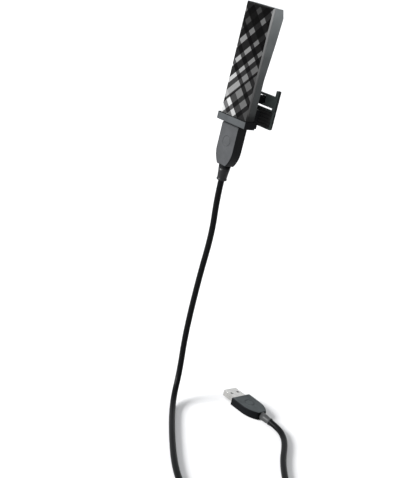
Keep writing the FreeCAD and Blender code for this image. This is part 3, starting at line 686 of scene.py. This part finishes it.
def grip_body(grip):
    """The D-shaped moulding, its mouth face at z = 0 and its broad faces across y."""
    made = bmesh.new()
    outline = grip_outline(grip)
    face = grip.thick / 2
    levels = []
    for step in range(EDGE_STEPS + 1):
        angle = step / EDGE_STEPS * math.pi / 2
        levels.append((EDGE_ROUND * (1.0 - math.sin(angle)), face - EDGE_ROUND * (1.0 - math.cos(angle))))
    rings = [(inset, -level) for inset, level in levels]
    rings += [(inset, level) for inset, level in reversed(levels)]
    loops = [loop_of(made, [mm(x, level, z) for x, z in shrunk(outline, inset)]) for inset, level in rings]
    for first, second in zip(loops, loops[1:]):
        bridge(made, first, second)
    grip_face(made, loops[0], -face, -1.0, grip.mark)
    grip_face(made, loops[-1], face, 1.0, grip.mark)
    return made


# turns a piece that hangs down -z to run along +x, with its broad faces up and down
TOWARDS_PLUS_X = Matrix(((0, 0, -1, 0), (1, 0, 0, 0), (0, -1, 0, 0), (0, 0, 0, 1)))


def cutter(name, low, high):
    """A hidden box between two corners, for a boolean cut or joint."""
    made = bmesh.new()
    bmesh.ops.create_cube(made, size=1.0)
    for vert in made.verts:
        vert.co = Vector([(a + b) / 2 + share * (b - a) for a, b, share in zip(low, high, vert.co)])
    data = bpy.data.meshes.new(name)
    made.to_mesh(data)
    made.free()
    thing = bpy.data.objects.new(name, data)
    bpy.context.scene.collection.objects.link(thing)
    return thing


def joined(thing, tool, operation):
    """Applies a boolean of thing and tool, and drops the tool."""
    step = thing.modifiers.new("step", "BOOLEAN")
    step.operation = operation
    step.object = tool
    step.solver = "EXACT"
    for other in list(thing.modifiers):
        other.show_viewport = other == step
    graph = bpy.context.evaluated_depsgraph_get()
    graph.update()
    result = bpy.data.meshes.new_from_object(thing.evaluated_get(graph))
    thing.modifiers.remove(step)
    for other in thing.modifiers:
        other.show_viewport = True
    thing.data = result
    bpy.data.objects.remove(tool)


def make_relief(name, node, along, across, place, finish_name):
    """A relief as long and as wide as its CAD node, whose far end is RELIEF_TAPER narrower."""
    low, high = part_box(node)
    length = (high[along] - low[along]) / MM
    wide = (high[across] - low[across]) / 2 / MM
    made = lathe(relief_profile(length, wide, wide * RELIEF_TAPER))
    return put(name, made, place, "cradle", finish_name, node)


def make_ends():
    """The two moulded grips and their strain reliefs, placed by the CAD nodes that they stand for."""
    low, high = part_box("socket_grip")
    mouth = low[2] + SOCKET_GRIP.length * MM
    middle = Vector(((low[0] + high[0]) / 2, (low[1] + high[1]) / 2, mouth))
    socket = put("socket_moulding", grip_body(SOCKET_GRIP), Matrix.Translation(middle), "cradle",
                 "grip_socket", "socket_grip")
    hole_low, hole_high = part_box("socket_shell")
    wall = mm(NECK_WALL, NECK_WALL, 0.0)
    joined(socket, cutter("neck", Vector((hole_low[0], hole_low[1], mouth - CUT_MARGIN * MM)) - wall,
                          Vector((hole_high[0], hole_high[1], high[2])) + wall), "UNION")
    joined(socket, cutter("bore", Vector(hole_low),
                          Vector((hole_high[0], hole_high[1], high[2] + CUT_MARGIN * MM))), "DIFFERENCE")
    socket_relief = make_relief("socket_relief_moulding", "socket_relief", 2, 0,
                                Matrix.Translation(middle - mm(0, 0, SOCKET_GRIP.length)), "relief")
    low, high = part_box("plug_grip")
    middle = Vector((low[0], (low[1] + high[1]) / 2, (low[2] + high[2]) / 2))
    turned = Matrix.Translation(middle) @ TOWARDS_PLUS_X
    plug = put("plug_moulding", grip_body(PLUG_GRIP), turned, "cradle", "grip_plug",
               "plug_grip")
    plug_relief = make_relief("plug_relief_moulding", "plug_relief", 0, 1,
                              Matrix.Translation(middle + mm(PLUG_GRIP.length, 0, 0)) @ TOWARDS_PLUS_X,
                              "relief_plug")
    return [socket_relief, plug, plug_relief]


# both reliefs and the far plug's grip, which go with the cable
cable_ends = make_ends()

# the tie round the coil

STRAP_WIDTH = 6.0
STRAP_THICK = 0.7
STRAP_SLACK = 0.05
LAP_GAP = 0.06
END_LIFT = 0.5
CORNERS_TWICE = 2
CORNER_STEPS = 8
# a rounded edge of the strap: millimetres in from its side, and shares of half its thickness
STRAP_EDGE = [(0.0, 0.45), (0.35, 1.0)]


def strap_path():
    """Round the coil's bundle of turns, in the plane across them, and on over its own start."""
    near, far = COIL_MIDDLE[0] + OUTER_RING - 2 * RING_STEP, COIL_MIDDLE[0] + OUTER_RING
    upper = LOWER_LAYER + LAYER_STEP
    corners = [(near + RING_STEP / 2, upper), (far - RING_STEP / 2, upper), (far, LOWER_LAYER),
               (near, LOWER_LAYER)]
    path = []
    reach = CABLE / 2 + STRAP_THICK / 2 + STRAP_SLACK
    count = len(corners)
    for index in range(count + CORNERS_TWICE):
        before, here, after = (Vector(corners[(index + step) % count]) for step in (-1, 0, 1))
        first, second = (here - before).normalized(), (after - here).normalized()
        start = math.atan2(first.x, -first.y)
        turn = first.angle_signed(second)
        layer = reach + (STRAP_THICK + LAP_GAP) * (index >= count) + END_LIFT * (index > count)
        for step in range(CORNER_STEPS + 1):
            angle = start - turn * step / CORNER_STEPS
            path.append(here + Vector((math.cos(angle), math.sin(angle))) * layer)
    return path


def strap_body():
    """The strap along its path, with rounded edges."""
    made = bmesh.new()
    path = strap_path()
    middle = COIL_MIDDLE[1]
    loops = []
    for index, here in enumerate(path):
        before, after = path[max(index - 1, 0)], path[min(index + 1, len(path) - 1)]
        along = (after - before).normalized()
        outward = Vector((-along.y, along.x))
        loop = []
        for side, lift in ((-1, -1), (1, -1), (1, 1), (-1, 1)):
            for inset, share in STRAP_EDGE if side * lift < 0 else reversed(STRAP_EDGE):
                spot = here + outward * (lift * share * STRAP_THICK / 2)
                loop.append(mm(spot.x, middle + side * (STRAP_WIDTH / 2 - inset), spot.y))
        loops.append(loop_of(made, loop))
    for first, second in zip(loops, loops[1:]):
        bridge(made, first, second)
    made.faces.new(loops[0])
    made.faces.new(loops[-1])
    return made


strap = put("cable_strap", strap_body(), Matrix.Identity(4), "cradle", "strap", "cable_tie")

# ---- floor and light ----

FLOOR_RADIUS = 12.0
FLOOR_GAP = 0.02
FLOOR_COLOUR = (0.66, 0.66, 0.665)


def make_floor():
    made = bmesh.new()
    bmesh.ops.create_circle(made, cap_ends=True, segments=64, radius=FLOOR_RADIUS)
    data = bpy.data.meshes.new("floor")
    made.to_mesh(data)
    made.free()
    floor = bpy.data.objects.new("floor", data)
    floor.location = (0.0, 0.0, TABLE - FLOOR_GAP * MM)
    bpy.context.scene.collection.objects.link(floor)
    pale = Finish("pale_floor", FLOOR_COLOUR, 0.7, Specular_IOR_Level=0.2)
    pale.set(Base_Color=pale.tinted(FLOOR_COLOUR, 400.0, 0.02))
    floor.data.materials.append(pale.material)


def sun(name, travel, strength, softness):
    """A sun whose light travels along travel, and that looks softness degrees wide."""
    data = bpy.data.lights.new(name, "SUN")
    data.energy = strength
    data.angle = math.radians(softness)
    light = bpy.data.objects.new(name, data)
    light.rotation_mode = "QUATERNION"
    light.rotation_quaternion = Vector(travel).to_track_quat("-Z", "Y")
    bpy.context.scene.collection.objects.link(light)


SKY_COLOUR = (0.97, 0.985, 1.0, 1.0)
SKY_STRENGTH = 0.55
BACKDROP_STRENGTH = 1.3
BACKDROP_SIDE = (-0.70, 0.70, 0.10)
# how squarely a direction points to BACKDROP_SIDE where the backdrop begins, and where it is full
BACKDROP_EDGE = (0.55, 0.8)


def make_sky():
    """An even pale studio, with a white backdrop standing behind the object."""
    world = bpy.data.worlds.new("studio")
    bpy.context.scene.world = world
    world.use_nodes = True
    tree = world.node_tree
    background = tree.nodes["Background"]
    background.inputs["Color"].default_value = SKY_COLOUR
    towards = tree.nodes.new("ShaderNodeVectorMath")
    towards.operation = "DOT_PRODUCT"
    towards.inputs[1].default_value = BACKDROP_SIDE
    tree.links.new(tree.nodes.new("ShaderNodeTexCoord").outputs["Generated"], towards.inputs[0])
    strength = tree.nodes.new("ShaderNodeMapRange")
    strength.interpolation_type = "SMOOTHSTEP"
    for socket, number in zip(strength.inputs[1:5], (*BACKDROP_EDGE, SKY_STRENGTH, BACKDROP_STRENGTH)):
        socket.default_value = number
    tree.links.new(towards.outputs["Value"], strength.inputs["Value"])
    tree.links.new(strength.outputs["Result"], background.inputs["Strength"])


bpy.context.scene.view_settings.view_transform = "Standard"
make_floor()
make_sky()
sun("key", travel=(0.40, 0.80, -0.42), strength=8.4, softness=25.0)
sun("fill", travel=(-0.8, 0.3, -0.6), strength=0.5, softness=60.0)
